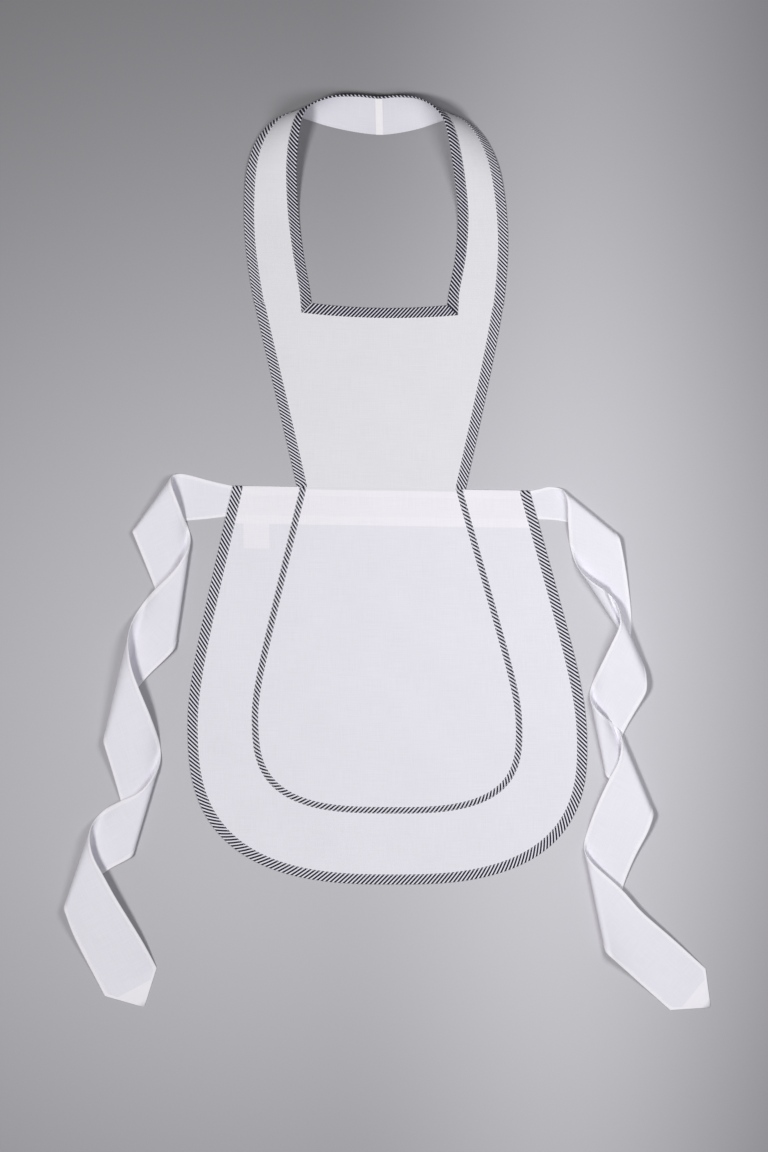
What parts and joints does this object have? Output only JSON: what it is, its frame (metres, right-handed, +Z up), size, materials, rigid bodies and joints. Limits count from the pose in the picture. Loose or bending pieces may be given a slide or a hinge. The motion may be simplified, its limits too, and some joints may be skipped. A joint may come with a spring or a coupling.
{
  "type": "bib apron",
  "caption": "White cotton bib apron with navy striped bias trim, lying flat face up, its neck loop rolled over and its long waist ties in soft zigzag folds.",
  "frame": {"origin": "middle of the waist, just below the waist seam, on the surface the apron lies on", "axes": "+Y up the bib to the neck, +X to the right seen from above, +Z up from the surface, on the face side of the cloth"},
  "size_m": [0.8212, 1.1611, 0.0492],
  "materials": {
    "outer_cotton": "plain-weave white cotton",
    "lining_cotton": "plain-weave white cotton, wrong side",
    "tie_cotton": "plain-weave white cotton, narrow hems",
    "striped_trim": "navy and white stripes cut on the bias",
    "label_tape": "blank satin label tape"
  },
  "bodies": {
    "skirt": {"skirt_panel": "outer_cotton", "skirt_hem_binding": "striped_trim", "skirt_inner_trim": "striped_trim", "waistband_facing": "lining_cotton", "care_label": "label_tape", "tie_left_root": "tie_cotton", "tie_right_root": "tie_cotton"},
    "bib": {"bib_front": "outer_cotton", "bib_facing": "lining_cotton", "strap_left": "outer_cotton", "strap_right": "outer_cotton", "strap_facing_left": "lining_cotton", "strap_facing_right": "lining_cotton", "bib_binding_left": "striped_trim", "bib_binding_right": "striped_trim", "neck_binding_left": "striped_trim", "neck_binding_right": "striped_trim", "neckline_binding": "striped_trim", "back_neck_seam": "lining_cotton"},
    "tie_left": {"tie_left": "tie_cotton"},
    "tie_right": {"tie_right": "tie_cotton"}
  },
  "joints": [
    {"name": "bib_fold", "type": "hinge", "parent": "skirt", "child": "bib", "pos_m": [0, 0.001, 0.0014], "axis": [0.9999, -0.0165, 0], "range_deg": [0, 170]},
    {"name": "tie_left_fold", "type": "hinge", "parent": "skirt", "child": "tie_left", "pos_m": [-0.202, -0.015, 0.001], "axis": [0, 1, 0], "range_deg": [0, 90]},
    {"name": "tie_right_fold", "type": "hinge", "parent": "skirt", "child": "tie_right", "pos_m": [0.202, -0.021, 0.001], "axis": [0, -1, 0], "range_deg": [0, 90]}
  ]
}
